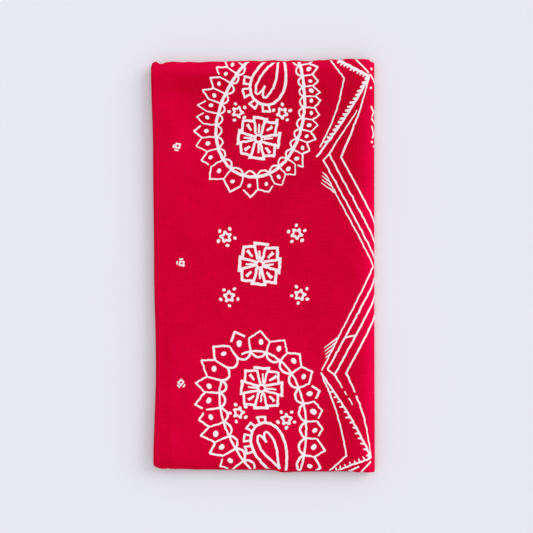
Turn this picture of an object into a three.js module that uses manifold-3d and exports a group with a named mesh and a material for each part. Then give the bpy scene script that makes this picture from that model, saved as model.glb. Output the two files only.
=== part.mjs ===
// A printed cotton bandana, folded into a flat packet and lying face up on a table.
// Millimetres. +Z is up, X runs across the packet and Y along it, and the origin is on the table under its middle.
//
// The fold: the two end quarters turn under to the middle, so that every layer is a leaf of two cloths
// with a rounded fold at each end. The long strip that this leaves is halved across, and halved again.
// Four leaves then lie on each other. The outer one runs from its hemmed edge at the lower left, under
// the packet, round the full fold on the right and over the top to the tight fold on the left.
import * as THREE from "three";
import { mergeVertices } from "three/addons/utils/BufferGeometryUtils.js";
import Module from "manifold-3d";

const wasm = await Module();
wasm.setup();

// Driving sizes
const HALF_LENGTH = 128;
const LEAF = 1.5; // two cloths with the air between them
const HALF_LEAF = LEAF / 2;
const SEAM_GAP = 0.3;
const LEAST_PITCH = LEAF + SEAM_GAP; // from one leaf's middle to the next one's
const OPEN_SIDE_PITCH = 1.98; // on the left, where the edges lie loose
const FULL_SIDE_PITCH = 2.12; // on the right, where the leaves turn round each other
const TOP_LEVEL = 3; // the leaves are levels 0 to 3, from the table up
const END_LIP = 2.2; // how far the rounded fold at a leaf's end reaches in
const OUTER_FOLD_REACH = 6; // how far the full fold on the right bulges
const INNER_FOLD_BACK = 4; // from the outer fold's centre line to the inner one's
const RETURN_LENGTH = 10; // of the outer leaf under the tight fold on the left
const HEM_WIDTH = 5.2;
const HEM_HEIGHT = 1.6;
const HEM_INSET = [1.5, 2.3]; // of the lower and the upper hemmed edge, in from the left fold
const FILL_MARGIN = 8; // the hidden leaves are parted this far in from their edges

// Where the packet was held round its middle it is a little thinner
const WAIST = { halfLength: 43, shoulder: 16, depth: 0.42 };

// The outline, seen from above
const LEFT_EDGE = [
  { y: -127, x: -68.2 },
  { y: -65, x: -66.6 },
  { y: 0, x: -67.8 },
  { y: 70, x: -68.4 },
  { y: 127, x: -69.7 },
];
const RIGHT_EDGE = [
  { y: -127, x: 69.7 },
  { y: 0, x: 69.4 },
  { y: 127, x: 69.4 },
];
const OUTER_ENDS = {
  far: [
    { x: -69, y: 125.9 },
    { x: -30, y: 125.8 },
    { x: 10, y: 126.4 },
    { x: 32, y: 126.5 },
    { x: 42, y: 127.7 },
    { x: 60, y: 128.4 },
    { x: 67, y: 127.8 },
    { x: 69.5, y: 126.9 },
  ],
  near: [
    { x: -69, y: -124.3 },
    { x: -61, y: -125.6 },
    { x: 7, y: -125.9 },
    { x: 12, y: -127.1 },
    { x: 50, y: -127.0 },
    { x: 64, y: -128.2 },
    { x: 69.5, y: -127.9 },
  ],
};
const HIDDEN_ENDS = {
  far: [
    { x: -62, y: 126.9 },
    { x: -30, y: 127.1 },
    { x: 10, y: 127.7 },
    { x: 38, y: 127.5 },
    { x: 66, y: 126.6 },
  ],
  near: [
    { x: -62, y: -126.3 },
    { x: -30, y: -126.8 },
    { x: 7, y: -126.9 },
    { x: 12, y: -128.4 },
    { x: 22, y: -127.9 },
    { x: 48, y: -127.8 },
    { x: 66, y: -127.0 },
  ],
};

// Soft rises and hollows of the top. angle is from +X, in degrees, along the crease.
const CREASES = [
  { x: -38, y: 98, angle: 62, length: 46, width: 13, rise: 0.34 },
  { x: -12, y: 74, angle: 58, length: 52, width: 12, rise: -0.36 },
  { x: 34, y: 88, angle: 100, length: 60, width: 12, rise: -0.42 },
  { x: 52, y: 60, angle: 84, length: 56, width: 9, rise: 0.36 },
  { x: -30, y: 10, angle: 76, length: 74, width: 16, rise: 0.22 },
  { x: 22, y: -14, angle: 98, length: 58, width: 15, rise: -0.26 },
  { x: -44, y: -76, angle: 94, length: 54, width: 12, rise: 0.32 },
  { x: -14, y: -98, angle: 118, length: 44, width: 12, rise: -0.32 },
  { x: 30, y: -84, angle: 80, length: 60, width: 13, rise: 0.34 },
  { x: 54, y: -96, angle: 92, length: 48, width: 9, rise: -0.3 },
];

const CLOTH_FINISH = { color: 0xc8002f, roughness: 0.9, metalness: 0 };

// Counts that set how fine the solids are
const STEPS_ACROSS = 13;
const STEPS_OUTER_FOLD = 10;
const STEPS_TIGHT_FOLD = 7;
const STEPS_ALONG = 18;
const LIP_SHARES = [0.02, 0.14, 0.42]; // places along an end's lip, as shares of its reach

const smooth = (t) => t * t * (3 - 2 * t);
const mix = (a, b, t) => a + (b - a) * t;
const clamp01 = (t) => Math.min(1, Math.max(0, t));

// A value from a table of rows, eased from each row to the next.
function fromRows(rows, key, value, at) {
  const next = rows.findIndex((row) => row[key] >= at);
  if (next === 0) return rows[0][value];
  if (next < 0) return rows.at(-1)[value];
  const a = rows[next - 1];
  const b = rows[next];
  return mix(a[value], b[value], smooth((at - a[key]) / (b[key] - a[key])));
}
const leftEdge = (y) => fromRows(LEFT_EDGE, "y", "x", y);
const rightEdge = (y) => fromRows(RIGHT_EDGE, "y", "x", y);

function creaseRise(x, y) {
  return CREASES.reduce((sum, c) => {
    const turn = THREE.MathUtils.degToRad(c.angle);
    const along = (x - c.x) * Math.cos(turn) + (y - c.y) * Math.sin(turn);
    const across = -(x - c.x) * Math.sin(turn) + (y - c.y) * Math.cos(turn);
    return sum + c.rise * Math.exp(-((along / (c.length / 2)) ** 2) - (across / c.width) ** 2);
  }, 0);
}

// The distance from one leaf's middle to the next one's. All levels share it, so no leaf meets another.
function pitch(x, y) {
  const across = clamp01((x - leftEdge(y)) / (rightEdge(y) - leftEdge(y)));
  const held = 1 - smooth(clamp01((Math.abs(y) - WAIST.halfLength) / WAIST.shoulder));
  const full = mix(OPEN_SIDE_PITCH, FULL_SIDE_PITCH, smooth(across));
  return Math.max(LEAST_PITCH, full + (creaseRise(x, y) - WAIST.depth * held) / TOP_LEVEL);
}
const levelZ = (level, x, y) => HALF_LEAF + level * pitch(x, y);

// Points of half an ellipse in the XZ plane, from its foot to its head. side is 1 for a right-hand bulge.
function foldArc(centreX, lowZ, highZ, reach, side, steps) {
  const arc = new THREE.EllipseCurve(
    centreX,
    (lowZ + highZ) / 2,
    reach,
    (highZ - lowZ) / 2,
    -Math.PI / 2,
    Math.PI / 2 + (side < 0 ? -2 * Math.PI : 0),
    side < 0,
  );
  return arc.getPoints(steps);
}

// Points of a flat stretch of one leaf, both ends included.
function stretch(level, fromX, toX, y, steps) {
  return Array.from({ length: steps + 1 }, (_, i) => {
    const x = mix(fromX, toX, i / steps);
    return new THREE.Vector2(x, levelZ(level, x, y));
  });
}

const outerFoldCentre = (y) => rightEdge(y) - HALF_LEAF - OUTER_FOLD_REACH;
const tightFoldReach = (y) => pitch(leftEdge(y) + LEAF, y) / 2;
const tightFoldCentre = (y) => leftEdge(y) + HALF_LEAF + tightFoldReach(y);
const hemEnd = (y) => leftEdge(y) + HEM_INSET[0] + HEM_WIDTH + SEAM_GAP;

// The outer leaf's middle line at one y: underside, full fold, top, tight fold and its return.
function outerMiddle(y) {
  const right = outerFoldCentre(y);
  const left = tightFoldCentre(y);
  const fold = foldArc(
    right, levelZ(0, right, y), levelZ(TOP_LEVEL, right, y), OUTER_FOLD_REACH, 1, STEPS_OUTER_FOLD);
  const tight = foldArc(
    left, levelZ(2, left, y), levelZ(TOP_LEVEL, left, y), tightFoldReach(y), -1, STEPS_TIGHT_FOLD);
  return [
    ...stretch(0, hemEnd(y), right, y, STEPS_ACROSS).slice(0, -1),
    ...fold,
    ...stretch(TOP_LEVEL, right, left, y, STEPS_ACROSS).slice(1, -1),
    ...tight.reverse(),
    new THREE.Vector2(leftEdge(y) + RETURN_LENGTH, levelZ(2, leftEdge(y) + RETURN_LENGTH, y)),
  ];
}

// The hidden leaf's middle line: its upper hemmed edge, the inner fold and back to the outer leaf's return.
function hiddenMiddle(y) {
  const right = outerFoldCentre(y) + OUTER_FOLD_REACH - INNER_FOLD_BACK;
  const radius = pitch(right, y) / 2;
  const fold = foldArc(
    right, levelZ(1, right, y), levelZ(2, right, y), radius, 1, STEPS_TIGHT_FOLD);
  const start = leftEdge(y) + HEM_INSET[1] + HEM_WIDTH + SEAM_GAP;
  const end = leftEdge(y) + RETURN_LENGTH + SEAM_GAP;
  return [
    ...stretch(1, start, right, y, STEPS_ACROSS).slice(0, -1),
    ...fold,
    ...stretch(2, right, end, y, STEPS_ACROSS).slice(1),
  ];
}

// Stations along Y as {share, swell}: share is 0 at the near end and 1 at the far one, and swell thins the end lips.
function stations(lip) {
  const reach = lip / (2 * HALF_LENGTH);
  const lips = LIP_SHARES.map((t) => ({ share: t * reach, swell: Math.sqrt(1 - (1 - t) ** 2) }));
  const middle = Array.from({ length: STEPS_ALONG + 1 }, (_, i) => ({
    share: mix(reach, 1 - reach, i / STEPS_ALONG),
    swell: 1,
  }));
  const far = lips.map(({ share, swell }) => ({ share: 1 - share, swell })).reverse();
  return [...lips, ...middle, ...far];
}

// A closed geometry from rings of equally many points, each ring a closed loop, with strips as end caps.
// Every ring goes out along one side of a wall and comes back along the other.
function loft(rings) {
  const count = rings[0].length;
  const triangles = [];
  for (let j = 0; j + 1 < rings.length; j += 1)
    for (let i = 0; i < count; i += 1) {
      const a = j * count + i;
      const b = j * count + ((i + 1) % count);
      triangles.push(a, b, a + count, b, b + count, a + count);
    }
  const last = (rings.length - 1) * count;
  for (let i = 0; i + 1 < count / 2; i += 1) {
    const back = count - 1 - i;
    triangles.push(i, back, i + 1, i + 1, back, back - 1);
    triangles.push(last + i, last + i + 1, last + back, last + i + 1, last + back - 1, last + back);
  }
  const geometry = new THREE.BufferGeometry();
  geometry.setAttribute(
    "position", new THREE.Float32BufferAttribute(rings.flat().flatMap((p) => p.toArray()), 3));
  geometry.setIndex(triangles);
  return outward(geometry);
}

// The same geometry with its faces turned out, whichever way its rings ran.
function outward(geometry) {
  const place = geometry.getAttribute("position");
  const index = geometry.index.array;
  const [a, b, c] = [new THREE.Vector3(), new THREE.Vector3(), new THREE.Vector3()];
  let volume = 0;
  for (let i = 0; i < index.length; i += 3) {
    [a, b, c].forEach((p, k) => p.fromBufferAttribute(place, index[i + k]));
    volume += a.dot(b.cross(c));
  }
  if (volume < 0)
    for (let i = 0; i < index.length; i += 3)
      [index[i + 1], index[i + 2]] = [index[i + 2], index[i + 1]];
  geometry.computeVertexNormals();
  return geometry;
}

// One wall along a leaf's middle line. ends gives its near and far outline, as y for each x.
function leafWall(middleAt, ends) {
  const rings = stations(END_LIP).map(({ share, swell }) => {
    const y = mix(-HALF_LENGTH, HALF_LENGTH, share);
    const line = middleAt(y);
    const side = (sign) =>
      line.map((p, i) => {
        const before = line[Math.max(0, i - 1)];
        const after = line[Math.min(line.length - 1, i + 1)];
        const along = after.clone().sub(before).normalize();
        const x = p.x - along.y * sign * HALF_LEAF * swell;
        const z = p.y + along.x * sign * HALF_LEAF * swell;
        const near = fromRows(ends.near, "x", "y", p.x);
        const far = fromRows(ends.far, "x", "y", p.x);
        return new THREE.Vector3(x, mix(near, far, share), z);
      });
    return [...side(1), ...side(-1).reverse()];
  });
  return loft(rings);
}

// What joins the hidden leaves away from their edges, so that they are one solid.
function hiddenFill() {
  const share = FILL_MARGIN / (2 * HALF_LENGTH);
  const rings = Array.from({ length: STEPS_ALONG + 1 }, (_, j) => {
    const y = mix(-HALF_LENGTH, HALF_LENGTH, mix(share, 1 - share, j / STEPS_ALONG));
    const from = leftEdge(y) + RETURN_LENGTH + FILL_MARGIN;
    const to = outerFoldCentre(y) - FILL_MARGIN / 2;
    const row = (level) =>
      stretch(level, from, to, y, STEPS_ACROSS).map((p) => new THREE.Vector3(p.x, y, p.y));
    return [...row(1), ...row(2).reverse()];
  });
  return loft(rings);
}

// A hemmed edge: the cloth turned in twice, as a soft flat bar along the packet's left side.
function hemBar(level, inset) {
  const PROFILE = [
    { across: 0, up: 0 },
    { across: 0.06, up: 0.34 },
    { across: 0.2, up: 0.5 },
    { across: 0.55, up: 0.44 },
    { across: 0.9, up: 0.5 },
    { across: 1, up: 0.3 },
  ];
  const END_INSET = 1.3;
  const rings = stations(HEM_HEIGHT).map(({ share, swell }) => {
    const y = mix(-HALF_LENGTH, HALF_LENGTH, share);
    const from = leftEdge(y) + inset;
    const middle = level === 0 ? HEM_HEIGHT / 2 : levelZ(level, from, y) + SEAM_GAP / 6;
    const near = fromRows(OUTER_ENDS.near, "x", "y", from) + END_INSET;
    const far = fromRows(OUTER_ENDS.far, "x", "y", from) - END_INSET;
    const side = (sign) =>
      PROFILE.map(({ across, up }) => {
        const x = from + HEM_WIDTH * mix(0.5, across, mix(0.9, 1, swell));
        const z = middle + sign * (up + 0.02) * HEM_HEIGHT * 0.96 * swell;
        return new THREE.Vector3(x, mix(near, far, share), z);
      });
    return [...side(1), ...side(-1).reverse()];
  });
  return loft(rings);
}

function toSolid(geometry) {
  const bare = geometry.clone();
  bare.deleteAttribute("normal");
  const merged = mergeVertices(bare, 1e-4);
  return new wasm.Manifold(
    new wasm.Mesh({
      numProp: 3,
      vertProperties: new Float32Array(merged.attributes.position.array),
      triVerts: new Uint32Array(merged.index.array),
    }),
  );
}

function toGeometry(solid) {
  const { vertProperties, triVerts } = solid.getMesh();
  const geometry = new THREE.BufferGeometry();
  geometry.setAttribute("position", new THREE.BufferAttribute(vertProperties, 3));
  geometry.setIndex(new THREE.BufferAttribute(triVerts, 1));
  geometry.computeVertexNormals();
  return geometry;
}

function clothMesh(name, geometry) {
  const mesh = new THREE.Mesh(geometry, new THREE.MeshStandardMaterial(CLOTH_FINISH));
  mesh.name = name;
  return mesh;
}

const hiddenLeaves = toSolid(leafWall(hiddenMiddle, HIDDEN_ENDS)).add(toSolid(hiddenFill()));

const bandana = new THREE.Group();
bandana.add(
  clothMesh("outer_layer", leafWall(outerMiddle, OUTER_ENDS)),
  clothMesh("hidden_layers", toGeometry(hiddenLeaves)),
  clothMesh("lower_hem", hemBar(0, HEM_INSET[0])),
  clothMesh("upper_hem", hemBar(1, HEM_INSET[1])),
);

export default bandana;
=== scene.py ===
# %% [markdown]
# # A folded cotton bandana
#
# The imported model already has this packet's true size: four leaves of doubled cloth, each folded on the
# next. This script dresses it as cloth. Each leaf becomes a skin with soft folds, the print is cut into
# the cloth itself, the hems get their thickness, and a plain table, light and camera finish it.
# Sizes are in millimetres in the functions below and turn into Blender's metres in one place.

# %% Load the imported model
import math

import bpy
import numpy as np
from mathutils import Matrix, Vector
from mathutils.geometry import delaunay_2d_cdt


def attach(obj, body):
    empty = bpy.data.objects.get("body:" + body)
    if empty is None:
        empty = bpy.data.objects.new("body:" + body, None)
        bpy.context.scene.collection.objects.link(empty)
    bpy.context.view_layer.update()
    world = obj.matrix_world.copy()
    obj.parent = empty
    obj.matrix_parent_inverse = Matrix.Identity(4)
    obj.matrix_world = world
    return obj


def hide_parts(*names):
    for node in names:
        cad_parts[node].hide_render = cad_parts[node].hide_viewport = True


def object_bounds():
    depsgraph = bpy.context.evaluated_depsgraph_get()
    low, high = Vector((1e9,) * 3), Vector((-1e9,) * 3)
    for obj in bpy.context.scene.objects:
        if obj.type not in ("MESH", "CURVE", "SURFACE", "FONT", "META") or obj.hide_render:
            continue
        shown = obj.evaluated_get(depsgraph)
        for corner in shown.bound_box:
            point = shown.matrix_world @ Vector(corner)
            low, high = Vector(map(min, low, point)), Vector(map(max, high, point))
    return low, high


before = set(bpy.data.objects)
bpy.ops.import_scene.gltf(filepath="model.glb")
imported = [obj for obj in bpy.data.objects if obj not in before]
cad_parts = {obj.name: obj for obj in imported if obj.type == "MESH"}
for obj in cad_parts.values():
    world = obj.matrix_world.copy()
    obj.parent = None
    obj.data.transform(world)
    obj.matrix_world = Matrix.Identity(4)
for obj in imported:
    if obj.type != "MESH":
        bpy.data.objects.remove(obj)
cad_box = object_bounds()
MM = 0.001
print("packed pieces:", ", ".join(sorted(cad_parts)))
print("box in mm:", [[round(c / MM, 1) for c in corner] for corner in cad_box])

# %% [markdown]
# ## The fold, in numbers
#
# A bandana is a hemmed square. Here its two end quarters turn under to the middle, which makes a long
# strip of doubled cloth, and the strip is halved across and halved again. So the packet has four
# leaves, levels 0 to 3 from the table up. The outer leaf runs under the packet, round the full fold on
# the right and over the top to the tight fold on the left. These sizes are the ones the solids have.

# %% Sizes of the packet
HALF_LENGTH = 128
LEAF = 1.5
HALF_LEAF = LEAF / 2
SEAM_GAP = 0.3
LEAST_PITCH = LEAF + SEAM_GAP
OPEN_SIDE_PITCH = 1.98
FULL_SIDE_PITCH = 2.12
TOP_LEVEL = 3
END_LIP = 2.6
FOLD_LIP = 0.9
ROLL_HEIGHT, ROLL_PLACE, ROLL_WIDTH = 0.5, 6.2, 3.6
OUTER_FOLD_REACH = 6
INNER_FOLD_BACK = 4
RETURN_LENGTH = 10
HEM_WIDTH = 5.2
HEM_HEIGHT = 1.6
HEM_INSET = {"lower": 1.5, "upper": 2.3}
WAIST_HALF, WAIST_SHOULDER, WAIST_DEPTH = 43, 16, 0.42

LEFT_EDGE = [(-127, -68.2), (-65, -66.6), (0, -67.8), (70, -68.4), (127, -69.7)]
RIGHT_EDGE = [(-127, 69.7), (0, 69.4), (127, 69.4)]

# Soft ridges and hollows of the top: x, y, angle in degrees, length, width, rise
CREASES = [
    (-37, 82, 121, 84, 9, -0.5),
    (-57, 92, 96, 66, 6, 0.34),
    (-6, 70, 62, 48, 8, 0.4),
    (34, 88, 100, 60, 9, -0.42),
    (53, 72, 84, 76, 6, 0.5),
    (-30, 10, 76, 74, 14, 0.24),
    (22, -14, 98, 58, 14, -0.26),
    (-63.5, -80, 91, 110, 3.2, 0.3),
    (-44, -70, 94, 54, 8, 0.36),
    (-14, -98, 118, 44, 8, -0.4),
    (24, -84, 80, 60, 9, 0.4),
    (44, -94, 72, 64, 8, -0.34),
    (56, -80, 96, 70, 7, 0.28),
]

# Painted highlight and shade, as soft spots in the cloth's colour, lighter above 0 and darker below: painted
# highlights along the full fold and the far end, painted shade along the near end and beside the hems, and
# broad patches of painted
# light and shade over the top. Columns: x, y, angle, length, width, lightness
PAINTED_LIGHT_SPOTS = [
    (18, 98, 4, 120, 26, -0.9),
    (24, 58, 0, 96, 18, -0.5),
    (-36, 113, 3, 66, 6, -0.85),
    (-48, 78, 96, 96, 18, 0.35),
    (-42, 75, -59, 84, 9, 0.3),
    (-27, 87, -59, 92, 9, -0.45),
    (-18, -84, 8, 110, 30, 0.45),
    (46, -94, 78, 66, 15, -0.8),
    (54, 80, 84, 110, 9, -0.85),
    (-6, 66, 0, 34, 9, 0.5),
    (-4, 124.5, 0.6, 200, 4.5, 1.15),
    (-10, -124, 0, 220, 5, -0.6),
    (67, 0, 90, 420, 6, 1.9),
    (-60, -84, 91, 100, 3, -0.7),
    (-10, 0, 0, 150, 22, -0.3),
]

# %% [markdown]
# ## Where a leaf lies
#
# Everything about the form is a function of a place on the cloth, so that the print, the mesh and the
# shading normals all agree. `eased` reads a value from a short table, and `ripples` gives the small
# unevenness that pressed cotton has, from a fixed seed, so that each run gives the same cloth.

# %% Small helpers for places and tables
def smooth(t):
    return t * t * (3 - 2 * t)


def mix(a, b, t):
    return a + (b - a) * t


def eased(rows, at):
    """A value from rows of (place, value), eased from each row to the next."""
    places, values = np.array(rows, float).T
    at = np.clip(at, places[0], places[-1])
    row = np.clip(np.searchsorted(places, at), 1, len(places) - 1)
    share = (at - places[row - 1]) / (places[row] - places[row - 1])
    return mix(values[row - 1], values[row], smooth(share))


def ripples(seed, shortest, waves=5):
    """A smooth function of one place in mm, about -1 to 1, with no wave shorter than that."""
    draw = np.random.default_rng(seed)
    lengths = shortest * draw.uniform(1, 3.2, waves)
    phases = draw.uniform(0, 2 * math.pi, waves)

    def height(at):
        at = np.asarray(at, float)[..., None]
        return np.sin(2 * math.pi * at / lengths + phases).sum(-1) / math.sqrt(waves)

    return height


# %% The stack of leaves
def left_edge(y):
    return eased(LEFT_EDGE, y)


def right_edge(y):
    return eased(RIGHT_EDGE, y)


def soft_sum(rows, x, y):
    """The sum of soft long spots, each with its own place, angle, length, width and height."""
    total = 0
    for cx, cy, angle, length, width, height in rows:
        turn = math.radians(angle)
        along = (x - cx) * math.cos(turn) + (y - cy) * math.sin(turn)
        across = (y - cy) * math.cos(turn) - (x - cx) * math.sin(turn)
        total = total + height * np.exp(-((2 * along / length) ** 2) - (across / width) ** 2)
    return total


def pitch(x, y):
    """The distance from one leaf's middle to the next one's. All levels share it, so none meet."""
    across = np.clip((x - left_edge(y)) / (right_edge(y) - left_edge(y)), 0, 1)
    held = 1 - smooth(np.clip((np.abs(y) - WAIST_HALF) / WAIST_SHOULDER, 0, 1))
    full = mix(OPEN_SIDE_PITCH, FULL_SIDE_PITCH, smooth(across))
    return np.maximum(LEAST_PITCH, full + (soft_sum(CREASES, x, y) - WAIST_DEPTH * held) / TOP_LEVEL)


def level_z(level, x, y):
    return HALF_LEAF + level * pitch(x, y)


def outer_fold_centre(y):
    return right_edge(y) - HALF_LEAF - OUTER_FOLD_REACH


def tight_fold_reach(y):
    return pitch(left_edge(y) + LEAF, y) / 2


def tight_fold_centre(y):
    return left_edge(y) + HALF_LEAF + tight_fold_reach(y)


corners = [round(float(level_z(TOP_LEVEL, x, y)) + HALF_LEAF, 2) for x in (-60, 50) for y in (-90, 90)]
print("height of the top near its corners, in mm:", corners)

# %% [markdown]
# ## Along the cloth
#
# A place on a leaf is (w, v): w runs along the cloth across the packet and v along the packet. On the
# top face w is simply x. Past the full fold it goes on round the bend, by the length of the cloth's outer
# skin, and along the underside, so that a line of the print bends over the fold without stretching. The
# fold is half an ellipse, and equal steps along an ellipse need a table of its arc length.

# %% The outer leaf's middle line
OUTER_W = (-82.0, 203.5)
TIGHT_FOLD_LENGTH = 5.4
fold_angles = np.linspace(0, math.pi, 241)
fold_steps = np.hypot(
    (OUTER_FOLD_REACH + HALF_LEAF) * np.diff(np.sin(fold_angles)),
    (TOP_LEVEL * FULL_SIDE_PITCH / 2 + HALF_LEAF) * np.diff(np.cos(fold_angles)),
)
FULL_FOLD_LENGTH = fold_steps.sum()
fold_shares = np.concatenate([[0], np.cumsum(fold_steps) / FULL_FOLD_LENGTH])


def hem_end(y):
    return left_edge(y) + HEM_INSET["lower"] + HEM_WIDTH


def outer_line(w, y):
    """x and z of the outer leaf's middle at w, from its return under the tight fold to the underside."""
    right, left = outer_fold_centre(y), tight_fold_centre(y)
    low, high = level_z(0, right, y), level_z(TOP_LEVEL, right, y)
    past = (w - right) / FULL_FOLD_LENGTH
    angle = np.interp(past, fold_shares, fold_angles)
    under = np.clip((w - right - FULL_FOLD_LENGTH) / (OUTER_W[1] - right - FULL_FOLD_LENGTH), 0, 1)
    round_x = right + OUTER_FOLD_REACH * np.sin(angle)
    round_z = (low + high) / 2 + (high - low) / 2 * np.cos(angle)
    under_x = mix(right, hem_end(y), under)
    before = (left - w) / TIGHT_FOLD_LENGTH
    bend = math.pi * np.clip(before, 0, 1)
    reach = tight_fold_reach(y)
    back = np.clip((left - w - TIGHT_FOLD_LENGTH) / (left - TIGHT_FOLD_LENGTH - OUTER_W[0]), 0, 1)
    tight_x = left - reach * np.sin(bend)
    tight_z = level_z(TOP_LEVEL, left, y) - reach * (1 - np.cos(bend))
    back_x = mix(left, left_edge(y) + RETURN_LENGTH, back)
    x = np.select([before > 1, before > 0, past > 1, past > 0], [back_x, tight_x, under_x, round_x], w)
    z = np.select(
        [before > 1, before > 0, past > 1, past > 0],
        [level_z(2, back_x, y), tight_z, level_z(0, under_x, y), round_z],
        level_z(TOP_LEVEL, w, y),
    )
    return x, z


# %% The hidden leaf's middle line
HIDDEN_W = (-58.0, 195.5)


def hidden_line(w, y):
    """x and z of the leaf between: level 2 from the left, the inner fold, then level 1 to its hem.

    w is x along level 2. Past the fold it runs on along level 1, scaled to end at the hem.
    """
    right = outer_fold_centre(y) + OUTER_FOLD_REACH - INNER_FOLD_BACK
    radius = pitch(right, y) / 2
    length = math.pi * (radius + HALF_LEAF)
    past = (w - right) / length
    angle = math.pi * np.clip(past, 0, 1)
    end = left_edge(y) + HEM_INSET["upper"] + HEM_WIDTH
    under_x = mix(right, end, np.clip((w - right - length) / (HIDDEN_W[1] - right - length), 0, 1))
    middle = (level_z(1, right, y) + level_z(2, right, y)) / 2
    x = np.select([past > 1, past > 0], [under_x, right + radius * np.sin(angle)], w)
    z = np.select(
        [past > 1, past > 0],
        [level_z(1, under_x, y), middle + radius * np.cos(angle)],
        level_z(2, w, y),
    )
    return x, z


print("cloth round the full fold:", round(float(FULL_FOLD_LENGTH), 2), "mm")

# %% [markdown]
# ## Where each leaf ends
#
# The packet's two ends are folds, and no fold lies quite over the next one. These rows give the end of
# the outer leaf and of the hidden one as y for each w. A little waviness is added, as fingers leave it.

# %% Ends of the leaves
OUTER_FAR = [
    (-70.5, 124.8), (-68.8, 126.2), (-66.8, 126.8), (-65.4, 126.7), (-64.8, 125.7), (-62.4, 125.8),
    (-61.8, 126.7), (-40, 126.7), (-24, 127.0), (-18, 126.5), (14, 126.4), (30, 126.7), (36, 128.0),
    (60, 128.5), (66.4, 128.3), (67.8, 126.9), (72, 126.7), (82, 126.2), (140, 126.9), (203, 125.2),
]
OUTER_NEAR = [
    (-69, -124.5), (-62, -126.0), (5, -126.1), (11, -127.2), (50, -127.0), (62, -128.2), (72, -128.3),
    (80, -127.4), (140, -126.4), (203, -124.9),
]
HIDDEN_FAR = [
    (-62, 125.3), (-56, 126.2), (-27, 126.6), (-19, 127.6), (14, 127.8), (34, 127.7), (66, 126.6),
    (80, 126.0), (130, 126.9), (190, 125.3),
]
HIDDEN_NEAR = [
    (-62, -126.3), (-30, -126.8), (6, -127.0), (12, -128.5), (24, -128.0), (48, -127.9), (66, -127.2),
    (84, -126.3), (120, -127.2), (190, -125.6),
]
END_WAVE = 0.2


def leaf_ends(near, far, seed):
    """Two functions of w, for the near and the far end of a leaf."""
    near_wave, far_wave = ripples(seed, 7), ripples(seed + 1, 7)
    return (
        lambda w: eased(near, w) + END_WAVE * near_wave(w),
        lambda w: eased(far, w) + END_WAVE * far_wave(w),
    )


outer_ends = leaf_ends(OUTER_NEAR, OUTER_FAR, seed=11)
hidden_ends = leaf_ends(HIDDEN_NEAR, HIDDEN_FAR, seed=23)
print("outer leaf's ends at its middle:", [round(float(end(0)), 2) for end in outer_ends])

# %% [markdown]
# ## A leaf as two skins
#
# A leaf is two cloths that a fold joins at each end. Its mesh is an outer and an inner skin that meet in
# a rounded lip at the ends. `skin_point` puts a place (w, v) on either skin. Shading normals come from
# the same function by small differences, because the printed mesh has many thin triangles, and
# normals averaged from those would show as dents.

# %% Points and normals of a skin
NUDGE = 0.05


def lip(distance, reach):
    """How full a rounded edge is at that distance in from it, from 0 to 1."""
    inward = np.clip(distance / reach, 0, 1)
    return np.sqrt(1 - (1 - inward) ** 2)


def end_lip(w):
    """How far in the rounding of an end reaches. The full fold is pressed harder, so it is shorter there."""
    return eased([(54, END_LIP), (66, FOLD_LIP), (78, FOLD_LIP), (92, END_LIP)], w)


ROLL_RISE, ROLL_FALL = (-66, 8), (50, 12)  # where along w the roll starts and stops, and over how far
ROLL_UNEVEN = 0.3
roll_sway = ripples(31, 24)


def end_roll(w, v):
    """The soft roll along the two ends of the top, where the doubled cloth turns over."""
    risen, fallen = (smooth(np.clip((w - at) / over, 0, 1)) for at, over in (ROLL_RISE, ROLL_FALL))
    on_top = risen * (1 - fallen)
    inward = (HALF_LENGTH - np.abs(v) - ROLL_PLACE) / ROLL_WIDTH
    return ROLL_HEIGHT * on_top * (1 + ROLL_UNEVEN * roll_sway(w)) * np.exp(-inward ** 2)


def skin_point(leaf, w, v, side):
    x, z = leaf["line"](w, v)
    x0, z0 = leaf["line"](w - NUDGE, v)
    x1, z1 = leaf["line"](w + NUDGE, v)
    length = np.hypot(x1 - x0, z1 - z0)
    ends = lip(HALF_LENGTH - np.abs(v), end_lip(w))
    sides = lip(np.minimum(w - leaf["w"][0], leaf["w"][1] - w), HALF_LEAF)
    lift = side * HALF_LEAF * ends * sides + (leaf["roll"](w, v) * ends if side > 0 else 0)
    near, far = leaf["ends"]
    share = (v + HALF_LENGTH) / (2 * HALF_LENGTH)
    return np.stack([
        x - (z1 - z0) / length * lift,
        mix(near(w), far(w), share),
        z + (x1 - x0) / length * lift,
    ], -1)


def skin_normal(leaf, w, v, side):
    w0, w1 = np.clip(w - NUDGE, *leaf["w"]), np.clip(w + NUDGE, *leaf["w"])
    v0, v1 = np.clip(v - NUDGE, -HALF_LENGTH, HALF_LENGTH), np.clip(v + NUDGE, -HALF_LENGTH, HALF_LENGTH)
    along_w = skin_point(leaf, w1, v, side) - skin_point(leaf, w0, v, side)
    along_v = skin_point(leaf, w, v1, side) - skin_point(leaf, w, v0, side)
    normal = side * np.cross(along_w, along_v)
    at_end = np.abs(v) > HALF_LENGTH - NUDGE / 2
    normal[at_end] = np.stack([0 * v, np.sign(v), 0 * v], -1)[at_end]
    return normal / np.maximum(np.linalg.norm(normal, axis=1), 1e-12)[:, None]


# %% [markdown]
# ## Cutting a print into the cloth
#
# A print has no height, so raising it would be wrong. It could be an image, but a drawn pattern made of
# shapes stays sharp at any size. The way used here is a flat triangulation: the grid of the cloth and
# the outlines of every printed stroke go in together, and the triangles that come back lie either
# wholly inside a stroke or wholly outside. Those inside get the print's material.

# %% Triangulate a field with strokes in it
MERGE = 1e-4
LEAST_TURN = 1e-3


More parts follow.
